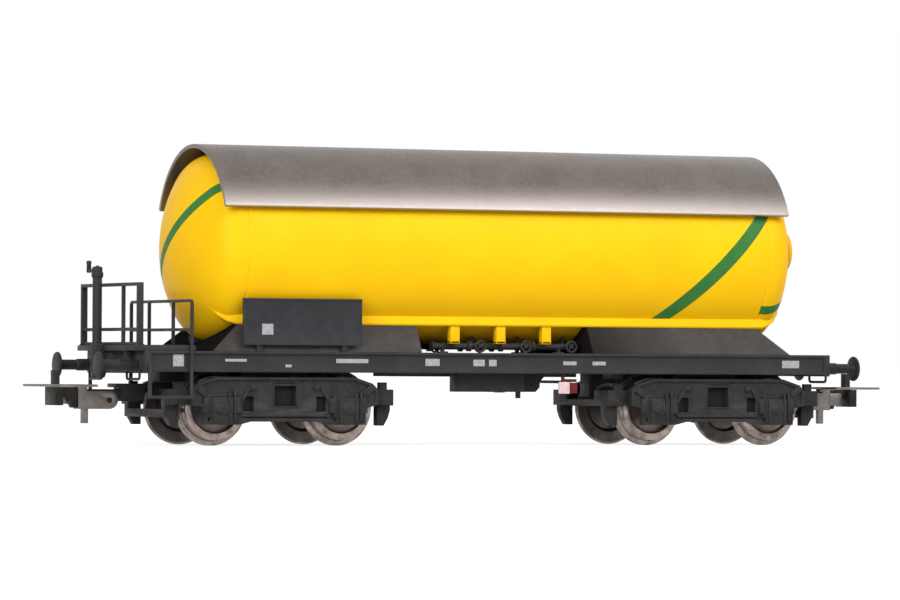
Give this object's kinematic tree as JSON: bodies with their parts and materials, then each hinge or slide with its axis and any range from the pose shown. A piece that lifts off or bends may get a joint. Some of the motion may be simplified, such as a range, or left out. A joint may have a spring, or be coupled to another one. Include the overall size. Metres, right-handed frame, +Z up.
{
  "type": "scale model railway tank car",
  "caption": "Model bogie tank wagon with sun shield, end platform with handbrake, sprung-look bogies and hook-and-loop couplers, rolling on flanged wheels.",
  "frame": {"origin": "bottom centre of the whole wagon, on the floor under its flanges", "axes": "+X along the wagon towards the end without the platform, +Y across, +Z up"},
  "size_m": [0.1548, 0.0322, 0.0505],
  "materials": {
    "tank_yellow": "satin painted plastic",
    "shield_grey": "fine metallic taupe paint",
    "board_black": "matt black",
    "plate_pale": "matt pale print",
    "wheel_metal": "browned turned steel",
    "loop_metal": "browned sheet steel",
    "coupler_black": "matt black",
    "buffer_black": "satin black",
    "bogie_black": "matt dark grey",
    "pipe_grey": "matt grey",
    "frame_black": "matt dark grey"
  },
  "bodies": {
    "wagon": {"bogie_1_pivot": "bogie_black", "bogie_2_pivot": "bogie_black", "brake_reservoir": "frame_black", "brake_upright": "frame_black", "buffers_brake_end": "buffer_black", "buffers_plain_end": "buffer_black", "footsteps": "frame_black", "grab_irons_brake_end": "frame_black", "grab_irons_plain_end": "frame_black", "handbrake_column": "frame_black", "handbrake_crank": "frame_black", "lettering_board_far": "board_black", "lettering_board_near": "board_black", "lever_bracket": "frame_black", "lever_plate": "plate_pale", "platform": "frame_black", "railing_inner": "frame_black", "railing_outer": "frame_black", "saddle_brake_end": "frame_black", "saddle_plain_end": "frame_black", "shield_straps": "frame_black", "sun_shield": "shield_grey", "tank_manhole": "tank_yellow", "tank_shell": "tank_yellow", "underframe": "frame_black", "valve_pipes": "pipe_grey"},
    "bogie_1": {"bogie_1_beam_inner": "bogie_black", "bogie_1_beams_outer": "bogie_black", "bogie_1_bolster": "bogie_black", "bogie_1_side_far": "bogie_black", "bogie_1_side_near": "bogie_black"},
    "wheelset_1_1": {"bogie_1_wheelset_1_axle": "wheel_metal", "bogie_1_wheelset_1_wheels": "wheel_metal"},
    "wheelset_1_2": {"bogie_1_wheelset_2_axle": "wheel_metal", "bogie_1_wheelset_2_wheels": "wheel_metal"},
    "bogie_2": {"bogie_2_beam_inner": "bogie_black", "bogie_2_beams_outer": "bogie_black", "bogie_2_bolster": "bogie_black", "bogie_2_side_far": "bogie_black", "bogie_2_side_near": "bogie_black"},
    "wheelset_2_1": {"bogie_2_wheelset_1_axle": "wheel_metal", "bogie_2_wheelset_1_wheels": "wheel_metal"},
    "wheelset_2_2": {"bogie_2_wheelset_2_axle": "wheel_metal", "bogie_2_wheelset_2_wheels": "wheel_metal"},
    "coupler_brake_end": {"coupler_guide_brake_end": "coupler_black", "coupler_head_brake_end": "coupler_black"},
    "coupler_plain_end": {"coupler_guide_plain_end": "coupler_black", "coupler_head_plain_end": "coupler_black"},
    "loop_brake_end": {"coupler_loop_brake_end": "loop_metal"},
    "loop_plain_end": {"coupler_loop_plain_end": "loop_metal"}
  },
  "joints": [
    {"name": "bogie_1_swivel", "type": "hinge", "parent": "wagon", "child": "bogie_1", "pos_m": [-0.038, 0, 0.0073], "axis": [0, 0, 1], "range_deg": [-8, 8]},
    {"name": "wheelset_1_1_roll", "type": "hinge", "parent": "bogie_1", "child": "wheelset_1_1", "pos_m": [-0.0493, 0, 0.0064], "axis": [0, 1, 0], "continuous": true},
    {"name": "wheelset_1_2_roll", "type": "hinge", "parent": "bogie_1", "child": "wheelset_1_2", "pos_m": [-0.0267, 0, 0.0064], "axis": [0, 1, 0], "continuous": true},
    {"name": "bogie_2_swivel", "type": "hinge", "parent": "wagon", "child": "bogie_2", "pos_m": [0.0423, 0, 0.0073], "axis": [0, 0, 1], "range_deg": [-8, 8]},
    {"name": "wheelset_2_1_roll", "type": "hinge", "parent": "bogie_2", "child": "wheelset_2_1", "pos_m": [0.031, 0, 0.0064], "axis": [0, 1, 0], "continuous": true},
    {"name": "wheelset_2_2_roll", "type": "hinge", "parent": "bogie_2", "child": "wheelset_2_2", "pos_m": [0.0536, 0, 0.0064], "axis": [0, 1, 0], "continuous": true},
    {"name": "coupler_brake_end_swing", "type": "hinge", "parent": "wagon", "child": "coupler_brake_end", "pos_m": [-0.0542, 0, 0.01], "axis": [0, 0, 1], "range_deg": [-8, 8]},
    {"name": "loop_brake_end_lift", "type": "hinge", "parent": "coupler_brake_end", "child": "loop_brake_end", "pos_m": [-0.0648, 0, 0.00755], "axis": [0, 1, 0], "range_deg": [0, 12]},
    {"name": "coupler_plain_end_swing", "type": "hinge", "parent": "wagon", "child": "coupler_plain_end", "pos_m": [0.0542, 0, 0.01], "axis": [0, 0, 1], "range_deg": [-8, 8]},
    {"name": "loop_plain_end_lift", "type": "hinge", "parent": "coupler_plain_end", "child": "loop_plain_end", "pos_m": [0.0648, 0, 0.00755], "axis": [0, -1, 0], "range_deg": [0, 12]}
  ]
}
